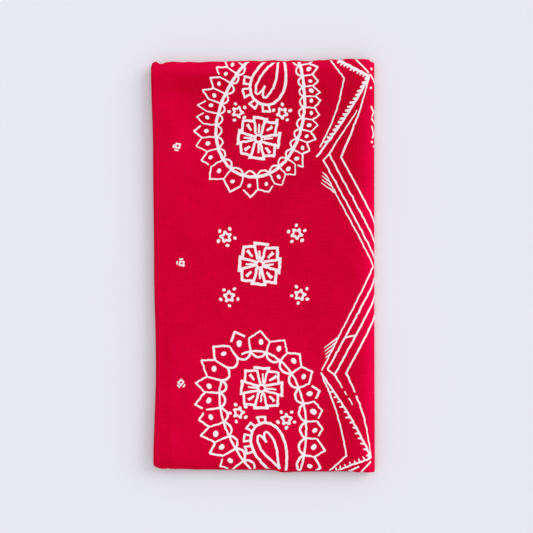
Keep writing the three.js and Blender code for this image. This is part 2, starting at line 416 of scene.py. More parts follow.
def triangulate(places, shapes=()):
    """Places, triangles and a printed flag for each triangle, from points and shapes round a first corner.

    Each shape goes in as triangles that turn left, because one that crossed itself would spill over.
    """
    points = [Vector(place) for place in places]
    faces = []
    for shape in shapes:
        first = len(points)
        points += [Vector(place) for place in shape]
        for i in range(1, len(shape) - 1):
            turn = np.cross(shape[i] - shape[0], shape[i + 1] - shape[0])
            if abs(turn) > LEAST_TURN:
                pair = (first + i, first + i + 1) if turn > 0 else (first + i + 1, first + i)
                faces.append([first, *pair])
    made = delaunay_2d_cdt(points, [], faces, 0, MERGE)
    return np.array(made[0]), np.array(made[2]), np.array([len(face) > 0 for face in made[5]])


def field(w_lines, v_lines):
    return np.stack(np.meshgrid(w_lines, v_lines), -1).reshape(-1, 2)


def on_rim(leaf, places):
    w, v = places.T
    at_side = (np.abs(w - leaf["w"][0]) < 0.01) | (np.abs(w - leaf["w"][1]) < 0.01)
    return at_side | (np.abs(np.abs(v) - HALF_LENGTH) < 0.01)


# %% Build the mesh of a leaf
CORNER_INSET = (0.05, 0.003)


def cloth_object(name, points, faces, normals, uvs, printed):
    """A mesh object in metres with its own normals and a uv map in millimetres of cloth."""
    mesh = bpy.data.meshes.new(name)
    mesh.from_pydata((points * MM).tolist(), [], faces.tolist())
    mesh.uv_layers.new(name="cloth_mm")
    corners = np.empty(len(mesh.loops), np.int32)
    mesh.loops.foreach_get("vertex_index", corners)
    mesh.uv_layers["cloth_mm"].data.foreach_set("uv", uvs[corners].astype(np.float32).ravel())
    mesh.polygons.foreach_set("use_smooth", np.ones(len(faces), bool))
    mesh.polygons.foreach_set("material_index", printed.astype(np.int32))
    mesh.update()
    mesh.normals_split_custom_set_from_vertices(normals.tolist())
    # painted light and shade for each point: how much lighter or darker the colour is painted there
    painted_light_and_shade = mesh.attributes.new("painted_light_and_shade", "FLOAT", "POINT")
    painted_light_and_shade.data.foreach_set("value", soft_sum(PAINTED_LIGHT_SPOTS, points[:, 0], points[:, 1]).astype(np.float32))
    made = bpy.data.objects.new(name, mesh)
    bpy.context.scene.collection.objects.link(made)
    print(f"{name}: {len(points)} points, {len(faces)} triangles, {int(printed.sum())} of them printed")
    return made


def leaf_object(name, leaf, w_lines, v_lines, inner_w_lines, inner_v_lines, shapes=()):
    """A closed leaf: a fine outer skin, with the print in it, and a plainer inner one on the same rim."""
    outer, outer_faces, printed = triangulate(field(w_lines, v_lines), shapes)
    rim = outer[on_rim(leaf, outer)]
    inside = field(inner_w_lines, inner_v_lines)
    inside = inside[~on_rim(leaf, inside)]
    # a point just inside each corner keeps the two skins from having the same triangle there
    corners = [
        (w + (CORNER_INSET[0] if w < 0 else -CORNER_INSET[0]), end * (HALF_LENGTH - CORNER_INSET[1]))
        for w in leaf["w"] for end in (-1, 1)
    ]
    inner, inner_faces, _ = triangulate(np.concatenate([rim, inside, corners]))
    number = {tuple(np.round(p, 3)): i for i, p in enumerate(outer) if on_rim(leaf, p[None])[0]}
    shared = np.array([number.get(tuple(np.round(p, 3)), -1) for p in inner])
    own = shared < 0
    renumber = np.where(own, len(outer) + np.cumsum(own) - 1, shared)
    points, normals = [], []
    for places, side in ((outer, 1), (inner[own], -1)):
        w, v = places.T
        points.append(skin_point(leaf, w, v, side))
        normals.append(skin_normal(leaf, w, v, side))
    faces = np.concatenate([outer_faces, renumber[inner_faces][:, ::-1]])
    plain = np.zeros(len(inner_faces), bool)
    points = np.concatenate(points)
    uvs = np.concatenate([outer, inner[own]])
    uvs[:, 1] = points[:, 1]
    return cloth_object(
        name, points, faces, np.concatenate(normals), uvs, np.concatenate([printed, plain]))


# %% [markdown]
# ## Drawing by hand with numbers
#
# The print looks cut with a knife: blunt ends, lines that swell and thin, corners where two cuts cross.
# So the basic mark is one cut, a strip of short pieces whose edges wander a little. A corner is two
# cuts that overlap, never one bent line. Motifs are worked out by rule in millimetres on the cloth.

# %% Paths to cut along
CUT_STEP = 1.5


def path_length(path):
    return np.hypot(*np.diff(path, axis=0).T).sum()


def stretch(path, start, end):
    """The part of a path between two shares of its length, as evenly spaced points."""
    path = np.array(path, float)
    far = np.concatenate([[0], np.cumsum(np.hypot(*np.diff(path, axis=0).T))])
    count = max(2, round(far[-1] * (end - start) / CUT_STEP) + 1)
    at = np.linspace(far[-1] * start, far[-1] * end, count)
    return np.stack([np.interp(at, far, path[:, 0]), np.interp(at, far, path[:, 1])], 1)


def bowed(start, end, bulge):
    """A path from start to end that bows out to its left by bulge."""
    start, end = np.array(start, float), np.array(end, float)
    way = (end - start) / np.linalg.norm(end - start)
    share = np.linspace(0, 1, 13)[:, None]
    return stretch(mix(start, end, share) + bulge * np.sin(math.pi * share) * [-way[1], way[0]], 0, 1)


def beside(path, at, out):
    """The point at that length along a path, moved out to its right by out."""
    far = np.concatenate([[0], np.cumsum(np.hypot(*np.diff(path, axis=0).T))])
    back, here, ahead = (
        np.array([np.interp(at + shift, far, path[:, k]) for k in (0, 1)]) for shift in (-1.2, 0, 1.2))
    way = (ahead - back) / max(np.linalg.norm(ahead - back), 1e-9)
    return here + out * np.array([way[1], -way[0]])


# %% Marks: a cut, straight cuts and a dot
hand = np.random.default_rng(7)
WANDER = 0.12
WIDTH_SPREAD = 0.16
END_SLANT = 0.25
marks = []


def cut(path, width, thin_start=1.0, thin_end=1.0):
    """One cut line of the print, as a strip of four-cornered shapes."""
    path = stretch(path, 0, 1)
    along = np.gradient(path, axis=0)
    along /= np.linalg.norm(along, axis=1)[:, None]
    across = np.stack([-along[:, 1], along[:, 0]], 1)
    count = len(path)
    path = path + across * hand.normal(0, WANDER, (count, 1))
    taper = np.linspace(thin_start, thin_end, count)[:, None]
    half = width / 2 * taper * (1 + WIDTH_SPREAD * hand.uniform(-1, 1, (count, 2)))
    left, right = path + across * half[:, :1], path - across * half[:, 1:]
    slant = hand.uniform(-END_SLANT, END_SLANT, 4)[:, None]
    left[0] += along[0] * slant[0]
    right[0] += along[0] * slant[1]
    left[-1] += along[-1] * slant[2]
    right[-1] += along[-1] * slant[3]
    for i in range(count - 1):
        marks.append(np.array([right[i], right[i + 1], left[i + 1], left[i]]))


def cuts(corners, width, overlap=0.3):
    """A straight cut between each two corners, a little longer than the way between them."""
    corners = np.array(corners, float)
    for a, b in zip(corners, corners[1:]):
        more = (b - a) / np.linalg.norm(b - a) * width * overlap
        cut([a - more, b + more], width)


def dot(place, radius):
    """A printed dot: a little longer than wide, and never quite round."""
    turns = np.linspace(0, 2 * math.pi, 11)[:-1]
    lean = hand.uniform(0, math.pi)
    size = radius * (1 + 0.14 * np.cos(2 * (turns - lean)) + 0.07 * hand.uniform(-1, 1, 10))
    marks.append(np.array(place) + np.stack([size * np.cos(turns), size * np.sin(turns)], 1))


# %% [markdown]
# ## The paisley
#
# A paisley is a leaning drop. Its outline here is a plain formula of its length and width, as old as the
# motif. Round it stand small houses, each with a dot, and inside it hangs a scallop for each house. The
# packet shows the round end of two of them, and their tips lie past the folds.

# %% The drop and the houses round it
WALL_SHARE, DOT_SHARE, SCALLOP_SHARE = 0.61, 0.46, 0.29  # of a house's height
HOUSE_LEAN = 0.15  # the houses on the left are that much taller, and those on the right lower
ROOF_GAP_SHARE = 0.2
PITCH_PLACES = (0.3, 0.5, 0.7)  # shares of the way round a ring at which the pitch of its houses is given
PAST_END = 2  # a house whose dot lies further past the packet's end isn't drawn


def teardrop(foot, length, width, lean, fullness=0.6):
    """A paisley's outline, from its tip down the left side, round the foot and back up."""
    t = np.linspace(0, 2 * math.pi, 121)
    side = np.sin(t) * np.sin(t / 2) ** fullness
    across = -side * width / 2 / side.max()
    along = length * (1 + np.cos(t)) / 2
    c, s = math.cos(math.radians(lean)), math.sin(math.radians(lean))
    return stretch(np.array(foot) + np.stack([across * c + along * s, along * c - across * s], 1), 0, 1)


def houses(ring, gap, pitches, height, line, ring_line, eye_size):
    """Houses outside a ring and scallops inside it. gap gives the shares between which it has no line."""
    far = path_length(ring)
    walls = [0.0]
    while walls[-1] < far - pitches[-1] / 2:
        step = np.interp(walls[-1] / far, PITCH_PLACES, pitches)
        walls.append(walls[-1] + step * (1 + hand.normal(0, 0.05)))
    tall = [height * (1 - HOUSE_LEAN * (beside(ring, at, 1) - beside(ring, at, 0))[0]) for at in walls]
    tops = [beside(ring, at, t * (WALL_SHARE + hand.normal(0, 0.04))) for at, t in zip(walls, tall)]
    for i in range(len(walls) - 1):
        middle = (walls[i] + walls[i + 1]) / 2
        eye = beside(ring, middle + hand.normal(0, 0.3), tall[i] * DOT_SHARE + hand.normal(0, 0.25))
        if abs(eye[1]) > HALF_LENGTH + PAST_END:
            continue
        apex = beside(ring, middle + hand.normal(0, 1.0), tall[i] * (1 + hand.normal(0, 0.05)))
        gaps = hand.uniform(0, 1, 2) < ROOF_GAP_SHARE
        start = mix(tops[i], apex, 0.3 * gaps[0])
        end = mix(tops[i + 1], apex, 0.3 * gaps[1])
        cuts([start, apex, end], line * hand.uniform(0.85, 1.2), overlap=0.15)
        cut([beside(ring, walls[i], 0), tops[i]], line, 1.15, 0.85)
        dot(eye, eye_size * hand.uniform(0.88, 1.12))
        hang = height * SCALLOP_SHARE * hand.uniform(0.82, 1.1)
        cut([
            beside(ring, mix(walls[i], walls[i + 1], t), -hang * math.sin(math.pi * t) ** 0.6)
            for t in np.linspace(0, 1, 9)
        ], line * 1.2)
    cut(stretch(ring, 0, gap[0]), ring_line)
    cut(stretch(ring, gap[1], 1), ring_line)


# %% The square flower, the star and the bud
def flower(centre, turn, bold=1.0):
    """Four flared petals with a ray in each, four square ones between, and a ring in the middle."""
    centre = np.array(centre, float)

    def place(points, quarter):
        angle = turn + quarter * math.pi / 2
        c, s = math.cos(angle), math.sin(angle)
        points = np.array(points, float) + hand.normal(0, 0.3, np.shape(points))
        return centre + points @ np.array([[c, s], [-s, c]])

    for quarter in range(4):
        for side in (-1, 1):
            cut(place([(2.4, 1.3 * side), (11.9, 3.7 * side)], quarter), 1.6 * bold)
        cut(place([(12.5, -4.9), (12.5, 4.7)], quarter), 1.85 * bold, 0.9, 1.1)
        cut(place([(3.2, 0.1), (8.9, 0.3)], quarter), 1.35 * bold, 1.1, 0.8)
        cuts(place([(10.6, 4.0), (10.5, 10.3), (4.0, 10.5)], quarter), 1.65 * bold)
        cut(place([(5.0, 4.6), (8.1, 7.9)], quarter), 1.9 * bold, 0.7, 1.1)
    turns = np.linspace(0, 2 * math.pi, 13)
    cut(centre + 2.3 * np.stack([np.cos(turns), np.sin(turns)], 1), 1.5)


def star(centre, turn):
    """A five-pointed star with a hollow middle, and a dot in each of its notches."""
    centre = np.array(centre, float)
    angles = turn + np.arange(11) * math.pi / 5
    reach = np.where(np.arange(11) % 2, 1.8, 3.6)
    cuts(centre + reach[:, None] * np.stack([np.cos(angles), np.sin(angles)], 1), 1.3, overlap=0.1)
    for angle in angles[1:10:2]:
        way = np.array([math.cos(angle), math.sin(angle)])
        dot(centre + hand.uniform(5.1, 5.8) * way, hand.uniform(1.0, 1.2))


def bud(centre, turn):
    """A tiny bud of the plain field: a square with a hollow middle over two leaves."""
    c, s = math.cos(turn), math.sin(turn)

    def place(points):
        return np.array(centre, float) + np.array(points, float) @ np.array([[c, s], [-s, c]])

    cuts(place([(0, 2.6), (1.6, 0.7), (-0.1, -1.0), (-1.7, 0.8), (0, 2.6)]), 1.0, overlap=0.2)
    cut(place([(-2.5, -0.6), (-0.7, -2.2)]), 1.2, 0.8, 0.9)
    cut(place([(0.8, -2.3), (2.4, -0.7)]), 1.1, 0.8, 0.8)


# %% The drop in the ring, with its tabs and heart
TAB_WIDTH, TAB_HEIGHT = 3.5, 4.4


def small_drop(outline, tabs):
    """A paisley's outline with square tabs, at those shares of the way round it."""
    cut(outline, 1.6)
    for share in tabs:
        at = share * path_length(outline)
        corners = [(-1, 0), (-1.05, TAB_HEIGHT), (0.95, TAB_HEIGHT - 0.2), (1, 0)]
        tab = [beside(outline, at + side * TAB_WIDTH / 2, out) for side, out in corners]
        cuts(np.array(tab) + hand.normal(0, 0.2, (4, 2)), 1.3)


def heart(lobes, tip, width):
    """The usual heart curve, which is 29 units long, from its lobes to its tip."""
    lobes, tip = np.array(lobes, float), np.array(tip, float)
    way = (tip - lobes) / np.linalg.norm(tip - lobes)
    t = np.linspace(0, 2 * math.pi, 61)
    along = (12 - (13 * np.cos(t) - 5 * np.cos(2 * t) - 2 * np.cos(3 * t) - np.cos(4 * t))) / 29
    across = np.sin(t) ** 3 * width / 2
    cut(lobes + np.outer(along, tip - lobes) + np.outer(across, [-way[1], way[0]]), 1.4)


# %% [markdown]
# ## The border
#
# The packet's right side shows a zigzag border of nested lines. Two of them are combs, with short teeth
# on one side. It runs from an apex on the fold down to a turn, and out over the fold again near the
# packet's middle. The two halves are the same drawing, cut anew by hand, with places of their own.

# %% Zigzag lines and combs
RUN_OUT = 0.54  # how far the lines go across for each millimetre along, on their way back to the fold
FOLD_MIDDLE = float(outer_fold_centre(0)) + FULL_FOLD_LENGTH / 2


def comb(path, tooth, gap, width, thick, side=1, lean=0.0, teeth_to=1.0):
    """A line with teeth on one side: 1 is its right. lean sets their points on along the line."""
    cut(path, width)
    for at in np.arange(gap / 2, path_length(path) * teeth_to, gap):
        foot = beside(path, at + hand.normal(0, 0.15), 0)
        point = beside(path, at + lean + hand.normal(0, 0.25), side * tooth * hand.uniform(0.8, 1.15))
        cut([foot, point], thick, 1.2, 0.7)


def out_to_fold(start):
    start = np.array(start, float)
    return [start, (FOLD_MIDDLE, start[1] - (FOLD_MIDDLE - start[0]) / RUN_OUT)]


def zigzag(apex, turn, outer_turn, fork, knee, plain_foot, inner_start, bows, ends, end_comb, long_comb,
           line, outer, branch):
    """One half of the border, drawn as if it were the far half."""
    apex, turn = np.array(apex, float), np.array(turn, float)
    # from the apex to the packet's end
    comb(np.array([apex, ends["comb"]], float), side=-1, **end_comb)
    cuts([apex + [-0.4, 2.4], ends["line"]], line)
    # the combed side, from the apex down to the turn
    comb(bowed(apex, turn, bows["comb"]), teeth_to=0.8, **long_comb)
    # the plain line beside it, bent at a knee
    cuts([ends["plain"], knee], line)
    cut(bowed(knee, turn + plain_foot, bows["plain"]), line * 0.95)
    # the outer line, and the branch between
    for path, parts in ((bowed(apex, outer_turn, bows["outer"]), outer), ([ends["branch"], fork], branch)):
        for start, end, width in parts:
            cut(stretch(path, start, end), width, 0.7, 1.15)
    # past the turn they all run out again, to the middle of the full fold
    middle_turn = turn + [4.2, -2]
    cuts([fork, middle_turn], line)
    for start in (outer_turn, fork, middle_turn):
        cut(out_to_fold(start), line * 1.12)
    inner = np.array([turn + [0.6, -1.5], (FOLD_MIDDLE - 2, 0)])
    cut(stretch(inner, inner_start, 1), line, 0.8, 1.0)
    # a feather of four strokes at the turn, each longer than the last
    for i in range(4):
        foot = mix(inner[0], inner[1], 0.15 + 0.055 * i)
        cut([foot, foot + np.array([-2.5, 1.8]) * (1 + 0.85 * i)], line, 1.15, 0.4)


# %% [markdown]
# ## Drawing the whole print
#
# Now the motifs are placed. The near half repeats the far half upside down, with sizes of its own, as a
# hand-cut block would print it. Each half is drawn as a far half and then turned over. What lies under
# the packet repeats the top's print, mirrored at the full fold, as a bandana's border is symmetrical.

# %% Places of the motifs
PAISLEYS = [
    {
        "up": 1, "ring": ((-12, 56), 92, 52, 16.5),
        "houses": {
            "gap": (0.5, 0.5), "pitches": (6.8, 8.8, 6.8), "height": 11.6, "line": 0.92, "ring_line": 1.85,
            "eye_size": 1.35,
        },
        "flower": {"centre": (-2.8, 79), "turn": -0.07, "bold": 0.95},
        "drop": ((-1.4, 100.6), 36, 21.2, 20.5, 0.9), "tabs": (0.315, 0.385, 0.465, 0.54),
        "heart": ((-1.7, 105.4), (10.8, 131.5), 10.2),
        "stars": [(-15.7, 95.5), (12, 94.8)],
    },
    {
        "up": -1, "ring": ((-10, 53.5), 94, 51, 15.5),
        "houses": {
            "gap": (0.39, 0.485), "pitches": (8.9, 9.6, 10.4), "height": 13, "line": 1.15, "ring_line": 1.25,
            "eye_size": 1.75,
        },
        "flower": {"centre": (-0.8, 75.8), "turn": 0.05, "bold": 0.88},
        "drop": ((-1.9, 98), 38, 20.2, 23, 0.9), "tabs": (0.31, 0.38, 0.445, 0.52),
        "heart": ((-0.8, 104), (10.7, 126.4), 9.6),
        "stars": [(-15.1, 91), (14.6, 95.2)],
    },
]
BORDERS = [
    {
        "up": 1, "apex": (66.2, 117.6), "turn": (33.4, 67.6), "outer_turn": (48.4, 67.6), "fork": (41, 69.4),
        "knee": (50.3, 116.6), "plain_foot": (1.8, 6), "inner_start": 0.15,
        "bows": {"comb": 1.3, "plain": 2.2, "outer": 1.2},
        "ends": {"comb": (46.4, 127.6), "line": (57.8, 127.8), "plain": (42, 127.4), "branch": (58.5, 96.6)},
        "end_comb": {"tooth": 2.1, "gap": 2.2, "width": 1.75, "thick": 1.15, "lean": 0.5},
        "long_comb": {"tooth": 2.2, "gap": 2.9, "width": 1.2, "thick": 1.7, "lean": 1.5},
        "line": 0.9, "outer": [(0, 1, 1.1)], "branch": [(0, 1, 0.95)],
    },
    {
        "up": -1, "apex": (67.4, 119), "turn": (35.9, 66.3), "outer_turn": (51.6, 66.3), "fork": (44.4, 67.6),
        "knee": (51.8, 117.6), "plain_foot": (0.6, 1.4), "inner_start": 0,
        "bows": {"comb": 1.6, "plain": 2, "outer": 2.6},
        "ends": {"comb": (44.8, 127.4), "line": (60.8, 128), "plain": (41.2, 127.2), "branch": (56.8, 88)},
        "end_comb": {"tooth": 2.3, "gap": 3.1, "width": 1.1, "thick": 0.9},
        "long_comb": {"tooth": 2.3, "gap": 3.8, "width": 1.2, "thick": 1.15, "lean": 1.0},
        "line": 1.0, "outer": [(0, 0.72, 1.0), (0.76, 1, 1.2)],
        "branch": [(0.1, 0.3, 0.8), (0.38, 0.5, 0.9), (0.6, 1, 1.1)],
    },
]

# %% Draw each half and turn it the right way up
for plan in PAISLEYS + BORDERS:
    first = len(marks)
    up = plan["up"]
    if "ring" in plan:
        houses(teardrop(*plan["ring"]), **plan["houses"])
        small_drop(teardrop(*plan["drop"]), plan["tabs"])
        heart(*plan["heart"])
        flower(**plan["flower"])
        for n, place in enumerate(plan["stars"]):
            star(place, 1.2 + n)
    else:
        zigzag(**{key: value for key, value in plan.items() if key != "up"})
    marks[first:] = [mark * [1, up] for mark in marks[first:]]

# %% The field between, and small marks on the full fold
for place, turn in (((-53.4, 73.9), -0.9), ((-50.8, -73), 0.1), ((-51, 2), -2.4)):
    bud(place, turn)
flower((-2, 1), turn=-0.05)
for place, turn in (((-23, 18), 0.5), ((21, 20), 1.0), ((-21, -19), 1.6), ((23, -18), 0.1)):
    star(place, turn)
for place, radius in (((67.8, 122.4), 0.8), ((67.4, 110.6), 0.8), ((68.2, 77), 0.8), ((69.6, 74.4), 0.6)):
    dot(place, radius)
for corners in (
    [(67.6, 98.8), (69.6, 95.4), (68.4, 93)], [(68, 91.6), (70.4, 88.6)],
    [(68, 86.6), (69.6, 82), (68.6, 79.6)], [(66.9, 119), (70.8, 113.6)],
    [(59.4, -124.6), (53.4, -127.2)], [(50.6, -44.6), (57.2, -43)],
):
    cuts(corners, 1.0)
marks += [mark * [-1, 1] + [2 * FOLD_MIDDLE, 0] for mark in marks]
print("marks in the print:", len(marks))

# %% [markdown]
# ## The printed cloth
#
# The marks were drawn by x and y. Here each of their points becomes a place on the cloth, and all go
# into the outer leaf. The grid is fine round the folds and in the lips, where the form turns quickly.

# %% Turn the marks into shapes on the cloth
OUTER_LEAF = {
    "line": outer_line, "ends": outer_ends, "w": OUTER_W, "roll": end_roll,
}
SAFE = 0.06


def cloth_v(leaf, w, y):
    """The place along a leaf whose y is that, at w."""
    near, far = (end(w) for end in leaf["ends"])
    return HALF_LENGTH * (2 * (y - near) / (far - near) - 1)


def shapes_on(leaf, drawn):
    """The marks that lie on a leaf, as shapes in its own places, kept just inside its rim."""
    shapes = []
    for mark in drawn:
        w, y = np.array(mark).T
        v = cloth_v(leaf, w, y)
        if np.abs(v).min() < HALF_LENGTH - SAFE:
            v = np.clip(v, SAFE - HALF_LENGTH, HALF_LENGTH - SAFE)
            shapes.append(np.stack([w, v], 1))
    return shapes


LIP_STEPS = END_LIP * np.array([0, 0.004, 0.02, 0.06, 0.13, 0.24, 0.4, 0.6, 0.82])


def along_packet(step):
    """Lines along v: fine in the two lips and even between them."""
    count = round(2 * (HALF_LENGTH - END_LIP) / step) + 1
    middle = np.linspace(END_LIP - HALF_LENGTH, HALF_LENGTH - END_LIP, count)
    return np.concatenate([LIP_STEPS - HALF_LENGTH, middle, (HALF_LENGTH - LIP_STEPS)[::-1]])


def across_leaf(stops, steps):
    """Lines along w between stops, each stretch with its own step."""
    parts = [
        np.linspace(a, b, max(1, round((b - a) / step)), endpoint=False)
        for a, b, step in zip(stops, stops[1:], steps)
    ]
    return np.concatenate([*parts, stops[-1:]])


outer_stops = [OUTER_W[0], OUTER_W[0] + HALF_LEAF, -73, -66, 62, 81, OUTER_W[1] - HALF_LEAF, OUTER_W[1]]
printed_cloth = leaf_object(
    "printed_cloth", OUTER_LEAF,
    across_leaf(outer_stops, [0.19, 2.5, 0.45, 1.8, 0.6, 3.5, 0.19]), along_packet(1.8),
    across_leaf(outer_stops, [0.19, 2.5, 0.9, 6, 1.3, 8, 0.19]), along_packet(6),
    shapes_on(OUTER_LEAF, marks))

# %% The leaf between
HIDDEN_LEAF = {
    "line": hidden_line, "ends": hidden_ends, "w": HIDDEN_W, "roll": lambda w, v: 0,
}
hidden_stops = [HIDDEN_W[0], HIDDEN_W[0] + HALF_LEAF, 64, 72, HIDDEN_W[1] - HALF_LEAF, HIDDEN_W[1]]
folded_layers = leaf_object(
    "folded_layers", HIDDEN_LEAF,
    across_leaf(hidden_stops, [0.19, 2.2, 0.5, 2.2, 0.19]), along_packet(4),
    across_leaf(hidden_stops, [0.19, 5, 0.9, 5, 0.19]), along_packet(8))

# %% [markdown]
# ## The hems
#
# The square's edge is turned in twice and stitched. Along the packet's left side four such hems lie in
# two pairs, and in each pair one hem goes up the packet, turns over its end and comes back below.
# So a pair is one band swept round a long flat loop. Stitching draws it in, which leaves it puckered.

# %% Sweep a hem round its loop
HEM_THICK = 0.72
HEM_RADIUS = 0.42
STITCH_LINE = 4.2
STITCH_PITCH = 2.6
PUCKER, PUCKER_WIDTH, PUCKER_UNEVEN = 0.08, 1.3, 0.05
HEM_PLACE = -66  # w of the hems, where the packet's ends are read
HEM_END_GAP = 1.7  # from the packet's end to where a hem starts to turn over
HEM_STEP = 1.3
HEM_SWAY, SWAY_SHIFT = 0.28, 40  # how far a hem wanders sideways, and how far its two runs are out of step
LOWER_RUN_IN = 0.15  # half of how much further in the lower run lies
# the band's section: across from its folded edge, and how full it is there
HEM_SECTION = [
    (0.0, 0.0), (0.05, 0.5), (0.25, 0.86), (0.8, 1.0), (2.4, 0.94), (3.7, 0.98), (4.2, 0.84), (4.7, 0.97),
    (5.05, 0.7), (5.2, 0.0),
]


def hem_loop(level, inset, seed):
    """A hem's loop: rows of x, y, middle height, height in the loop, and the way out of it in y and z."""
    sway = ripples(seed, 16)
    near = float(outer_ends[0](HEM_PLACE)) + HEM_END_GAP
    far = float(outer_ends[1](HEM_PLACE)) - HEM_END_GAP
    run = np.linspace(near, far, round((far - near) / HEM_STEP) + 1)
    bend = np.linspace(0, math.pi, 9)[1:-1]
    rows = [(y, 1, 0, 1) for y in run]
    rows += [(far + HEM_RADIUS * math.sin(a), math.cos(a), math.sin(a), math.cos(a)) for a in bend]
    rows += [(y, -1, 0, -1) for y in run[::-1]]
    rows += [(near - HEM_RADIUS * math.sin(a), -math.cos(a), -math.sin(a), -math.cos(a)) for a in bend]
    loop = []
    for y, up, out_y, out_z in rows:
        side = np.sign(up)
        wander = HEM_SWAY * float(sway(y + SWAY_SHIFT * side))
        x = float(left_edge(y)) + inset + wander + LOWER_RUN_IN * (1 - side)
        middle = HEM_HEIGHT / 2 if level == 0 else float(level_z(level, x, y)) + SEAM_GAP / 6
        loop.append((x, y, middle, up * HEM_RADIUS, out_y, out_z))
    return loop


def hem_band(loop, seed):
    """The hem's points, faces and places on the cloth."""
    thick = ripples(seed, 5)
    section = HEM_SECTION + [(across, -full) for across, full in HEM_SECTION[-2:0:-1]]
    points, uvs = [], []
    for x, y, middle, height, out_y, out_z in loop:
        draw_in = 1 - PUCKER * math.cos(2 * math.pi * y / STITCH_PITCH) + PUCKER_UNEVEN * float(thick(y))
        for across, full in section:
            pucker = mix(1, draw_in, math.exp(-((across - STITCH_LINE) / PUCKER_WIDTH) ** 2))
            lift = full * HEM_THICK / 2 * min(1.0, pucker)
            points.append((x + across, y + out_y * lift, middle + height + out_z * lift))
            uvs.append((across, y))
    count, rings = len(section), len(loop)
    faces = []
    for j in range(rings):
        for i in range(count):
            a, b = j * count + i, j * count + (i + 1) % count
            faces.append((a, b, (b + count) % (rings * count), (a + count) % (rings * count)))
    return points, faces, uvs


def mesh_object(name, points, faces, uvs):
    """A smooth mesh object in metres, with its places on the cloth as a uv map."""
    mesh = bpy.data.meshes.new(name)
    mesh.from_pydata([tuple(c * MM for c in p) for p in points], [], faces)
    layer = mesh.uv_layers.new(name="cloth_mm")
    for corner in mesh.loops:
        layer.data[corner.index].uv = uvs[corner.vertex_index]
    mesh.polygons.foreach_set("use_smooth", [True] * len(faces))
    made = bpy.data.objects.new(name, mesh)
    bpy.context.scene.collection.objects.link(made)
    print(f"{name}: {len(points)} points")
    return made


hem_loops = [hem_loop(0, HEM_INSET["lower"], seed=41), hem_loop(1, HEM_INSET["upper"], seed=51)]
lower_hem_cloth = mesh_object("lower_hem_cloth", *hem_band(hem_loops[0], seed=43))
upper_hem_cloth = mesh_object("upper_hem_cloth", *hem_band(hem_loops[1], seed=53))

# %% [markdown]
# ## The stitches of the hems
#
# A hem is held by a row of small machine stitches. Each is a short bit of thread that dives into the
# cloth at both ends, so one spindle shape, repeated round the loop, is enough. All are one mesh.

# %% Thread stitches
THREAD, THREAD_TIP, STITCH_LENGTH = 0.2, 0.01, 1.9
LEAST_Z = 0.02  # a stitch under the packet is pressed flat there
STITCH_DEPTH = 0.42  # share of the hem's thickness at which a stitch's middle lies
SPINDLE = (-0.5, -0.36, 0, 0.36, 0.5)  # shares of a stitch's length at which its rings of points stand
RING_POINTS = 6


def stitches(loops):
    """Spindles along the outside of each hem's loop, at its stitch line."""
    points, faces, uvs = [], [], []
    for loop in loops:
        path = np.array([
            (x + STITCH_LINE, y + out_y * HEM_THICK * STITCH_DEPTH,
             middle + height + out_z * HEM_THICK * STITCH_DEPTH)
            for x, y, middle, height, out_y, out_z in loop])
        far = np.concatenate([[0], np.cumsum(np.linalg.norm(np.diff(path, axis=0), axis=1))])
        for at in np.arange(STITCH_PITCH / 2, far[-1], STITCH_PITCH):
            first = len(points)
            for share in SPINDLE:
                middle = np.array([np.interp(at + share * STITCH_LENGTH, far, path[:, k]) for k in range(3)])
                radius = THREAD * (1 - (2 * share) ** 2) ** 0.5 + THREAD_TIP
                for turn in np.linspace(0, 2 * math.pi, RING_POINTS, endpoint=False):
                    place = middle + radius * np.array([math.cos(turn), 0, math.sin(turn)])
                    points.append((place[0], place[1], max(place[2], LEAST_Z)))
                    uvs.append((at + share, turn))
            last = len(points) - RING_POINTS
            for ring in range(first, last, RING_POINTS):
                for i in range(RING_POINTS):
                    a, b = ring + i, ring + (i + 1) % RING_POINTS
                    faces.append((a, a + RING_POINTS, b + RING_POINTS, b))
            faces.append(tuple(first + i for i in range(RING_POINTS)))
            faces.append(tuple(last + i for i in reversed(range(RING_POINTS))))
    return points, faces, uvs


hem_stitches = mesh_object("hem_stitches", *stitches(hem_loops))

# %% [markdown]
# ## Dyed cotton
#
# The cloth is plain-weave cotton, dyed red in the piece. Cotton has no gloss: what lifts its folds is
# sheen, the light that fine standing fibres catch at a low angle. Its threads vary in thickness, which
# shows as short fine streaks along both of its directions, and the dye takes a little unevenly.

# %% Helpers for materials
def linear(hex_colour):
    """A colour from sRGB hex to the linear values that the shader wants."""
    parts = [int(hex_colour[i:i + 2], 16) / 255 for i in (1, 3, 5)]
    return [c / 12.92 if c <= 0.04045 else ((c + 0.055) / 1.055) ** 2.4 for c in parts] + [1.0]


def add_node(tree, kind, inputs=None, **settings):
    """Adds a node, sets its properties, and sets or links each of its inputs."""
    node = tree.nodes.new(kind)
    for name, value in settings.items():
        setattr(node, name, value)
    for name, value in (inputs or {}).items():
        if isinstance(value, bpy.types.NodeSocket):
            tree.links.new(value, node.inputs[name])
        else:
            node.inputs[name].default_value = value
    return node


# %% Weave and streaks, measured in millimetres of cloth
THREAD_PITCH = 1.1  # real cotton of this kind has about 0.36, and this is drawn three times as coarse to show
STREAK_LENGTH = 11
DYE_PATCH = 22


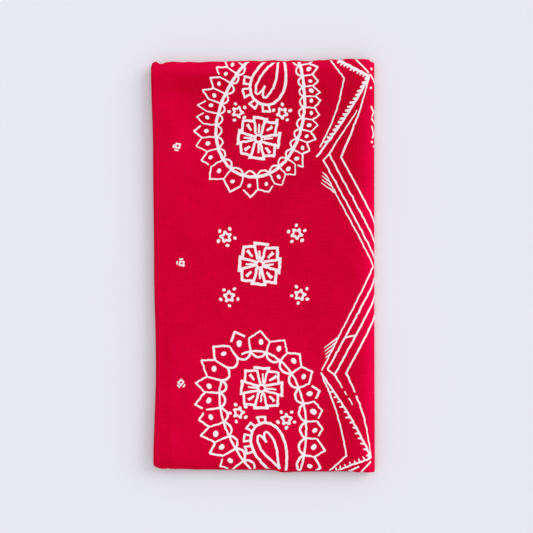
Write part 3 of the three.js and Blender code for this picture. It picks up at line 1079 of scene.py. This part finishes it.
def weave(tree):
    """Sockets for the height of the weave, the streaks of its threads and the patches of its dye."""
    uv = add_node(tree, "ShaderNodeUVMap", uv_map="cloth_mm").outputs["UV"]
    parts = add_node(tree, "ShaderNodeSeparateXYZ", {"Vector": uv})
    turns = 2 * math.pi / THREAD_PITCH
    waves = []
    for axis in "XY":
        turned = add_node(tree, "ShaderNodeMath", {0: parts.outputs[axis], 1: turns}, operation="MULTIPLY")
        waves.append(add_node(tree, "ShaderNodeMath", {0: turned.outputs[0]}, operation="SINE").outputs[0])
    crossing = add_node(tree, "ShaderNodeMath", {0: waves[0], 1: waves[1]}, operation="MULTIPLY").outputs[0]
    streaks = []
    for scale in ((1 / THREAD_PITCH, 1 / STREAK_LENGTH, 1), (1 / STREAK_LENGTH, 1 / THREAD_PITCH, 1)):
        scaled = add_node(tree, "ShaderNodeVectorMath", {0: uv, 1: scale}, operation="MULTIPLY")
        streaks.append(add_node(
            tree, "ShaderNodeTexNoise", {"Vector": scaled.outputs[0], "Scale": 1.0, "Detail": 2.0},
            noise_dimensions="2D").outputs["Fac"])
    streak = add_node(tree, "ShaderNodeMath", {0: streaks[0], 1: streaks[1]}, operation="ADD").outputs[0]
    patch = add_node(
        tree, "ShaderNodeTexNoise", {"Vector": uv, "Scale": 1 / DYE_PATCH, "Detail": 3.0},
        noise_dimensions="2D").outputs["Fac"]
    return crossing, streak, patch


# %% Cotton, as cloth, print and thread
MIDDLE_SHADE = 0.32  # of the way from the dark colour to the light one
# What moves the shade, with its weight and its own middle. Streaks run from about 0.6 to 1.4, patches
# from 0.3 to 0.7, and crossings and the painted light and shade from -1 to 1.
SHADE_PARTS = {"streak": (0.34, 1.0), "patch": (0.32, 0.5), "crossing": (0.08, 0.0), "painted_light_and_shade": (0.27, 0.0)}
STREAK_RELIEF = 1.2  # of a thick thread, against the crossing of two threads
RELIEF = 0.03  # height of the weave


def cotton(name, dark, light, sheen, sheen_tint):
    material = bpy.data.materials.new(name)
    material.use_nodes = True
    tree = material.node_tree
    shader = tree.nodes["Principled BSDF"]
    crossing, streak, patch = weave(tree)
    # the painted light and shade, read at each point of the mesh, moves the colour towards its light or dark
    # end
    painted_light_and_shade = add_node(tree, "ShaderNodeAttribute", attribute_name="painted_light_and_shade").outputs["Fac"]
    values = {"streak": streak, "patch": patch, "crossing": crossing, "painted_light_and_shade": painted_light_and_shade}
    shade = MIDDLE_SHADE
    for part, (weight, middle) in SHADE_PARTS.items():
        inputs = {0: values[part], 1: weight, 2: -weight * middle}
        moved = add_node(tree, "ShaderNodeMath", inputs, operation="MULTIPLY_ADD").outputs[0]
        shade = add_node(tree, "ShaderNodeMath", {0: moved, 1: shade}, operation="ADD").outputs[0]
    colour = add_node(
        tree, "ShaderNodeMix", {0: shade, 6: linear(dark), 7: linear(light)}, data_type="RGBA")
    tree.links.new(colour.outputs[2], shader.inputs["Base Color"])
    inputs = {0: streak, 1: STREAK_RELIEF, 2: crossing}
    height = add_node(tree, "ShaderNodeMath", inputs, operation="MULTIPLY_ADD").outputs[0]
    bump = add_node(tree, "ShaderNodeBump", {"Height": height, "Strength": 0.5, "Distance": RELIEF * MM})
    tree.links.new(bump.outputs["Normal"], shader.inputs["Normal"])
    # cotton fibre has an IOR of about 1.53, and its gloss is nearly off because the threads scatter it
    shader.inputs["Roughness"].default_value = 0.86
    shader.inputs["IOR"].default_value = 1.53
    shader.inputs["Specular IOR Level"].default_value = 0.01
    shader.inputs["Sheen Weight"].default_value = sheen
    shader.inputs["Sheen Roughness"].default_value = 0.32
    shader.inputs["Sheen Tint"].default_value = linear(sheen_tint)
    return material


# the red's light end is lighter than the cloth itself, to make room for the painted highlight along the full
# fold
red_cotton = cotton("dyed plain-weave cotton", "#BE0025", "#EE0046", 0.5, "#FF9AD6")
sewing_thread = cotton("red spun sewing thread", "#B80030", "#D8103F", 0.5, "#FFA0C8")
white_print = cotton("white pigment print on cotton", "#F3E5E8", "#FFF6F6", 0.1, "#FFFFFF")
for piece in (printed_cloth, folded_layers, lower_hem_cloth, upper_hem_cloth):
    piece.data.materials.append(red_cotton)
printed_cloth.data.materials.append(white_print)
hem_stitches.data.materials.append(sewing_thread)
print("materials:", red_cotton.name, "and", white_print.name)

# %% [markdown]
# ## Table, light and camera
#
# A plain pale table. Most of the light is an even white sky, because folded cloth shows soft and pale
# shadows. A weak sun as wide as a window, from the upper right, and a lamp overhead give it a little
# shape. The camera looks straight down, and its lens follows from how wide the picture is.

# %% Table
TABLE_SIZE = 5.0
mesh = bpy.data.meshes.new("table")
half = TABLE_SIZE / 2
mesh.from_pydata([(-half, -half, 0), (half, -half, 0), (half, half, 0), (-half, half, 0)], [], [(0, 1, 2, 3)])
table = bpy.data.objects.new("table", mesh)
table.location.z = -0.05 * MM
bpy.context.scene.collection.objects.link(table)
table_paint = bpy.data.materials.new("matt pale paint")
table_paint.use_nodes = True
paint = table_paint.node_tree.nodes["Principled BSDF"]
paint.inputs["Base Color"].default_value = linear("#E9E9EE")
paint.inputs["Roughness"].default_value = 0.9
paint.inputs["Specular IOR Level"].default_value = 0.2
table.data.materials.append(table_paint)

# %% Light
def lamp(name, kind, place, energy, **settings):
    """A lamp at a place, turned to the packet."""
    light = bpy.data.lights.new(name, kind)
    light.energy = energy
    for setting, value in settings.items():
        setattr(light, setting, value)
    made = bpy.data.objects.new(name, light)
    made.location = place
    made.rotation_euler = (-Vector(place)).to_track_quat("-Z", "Y").to_euler()
    bpy.context.scene.collection.objects.link(made)
    return made


# a sun as wide as a window, so that its light is even over the whole table and its shadows are soft
lamp("window", "SUN", (2.0, 1.0, 1.15), 1.35, angle=math.radians(42))
lamp("ceiling", "AREA", (-0.1, 0.2, 2.4), 9, size=2.0)
world = bpy.data.worlds.new("studio")
world.use_nodes = True
world.node_tree.nodes["Background"].inputs["Color"].default_value = linear("#F5F5F8")
world.node_tree.nodes["Background"].inputs["Strength"].default_value = 0.74
bpy.context.scene.world = world
bpy.context.scene.view_settings.view_transform = "Standard"

# %% Camera
PICTURE_WIDTH = 330.5 * MM
CAMERA_HEIGHT = 0.9
CAMERA_PLACE = (2.2 * MM, -0.35 * MM)
top_height = cad_box[1].z
camera = bpy.data.cameras.new("camera")
camera.sensor_width = 36
camera.lens = camera.sensor_width * (CAMERA_HEIGHT - top_height) / PICTURE_WIDTH
view = bpy.data.objects.new("camera", camera)
view.location = (*CAMERA_PLACE, CAMERA_HEIGHT)
bpy.context.scene.collection.objects.link(view)
bpy.context.scene.camera = view
print("lens:", round(camera.lens, 1), "mm")

# %% [markdown]
# ## What each piece is
#
# Every piece rides on the packet's one body and stands for its solid. The cloth that shows is one
# sheet: under the packet, round the full fold, over the top and round the tight fold.

# %% Ride and replace
for piece, node, slot in (
    (printed_cloth, "outer_layer", "printed_cotton"),
    (folded_layers, "hidden_layers", "folded_cotton"),
    (lower_hem_cloth, "lower_hem", "hem_cotton"),
    (upper_hem_cloth, "upper_hem", "hem_cotton"),
):
    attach(piece, "root")
    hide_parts(node)
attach(hem_stitches, "root")
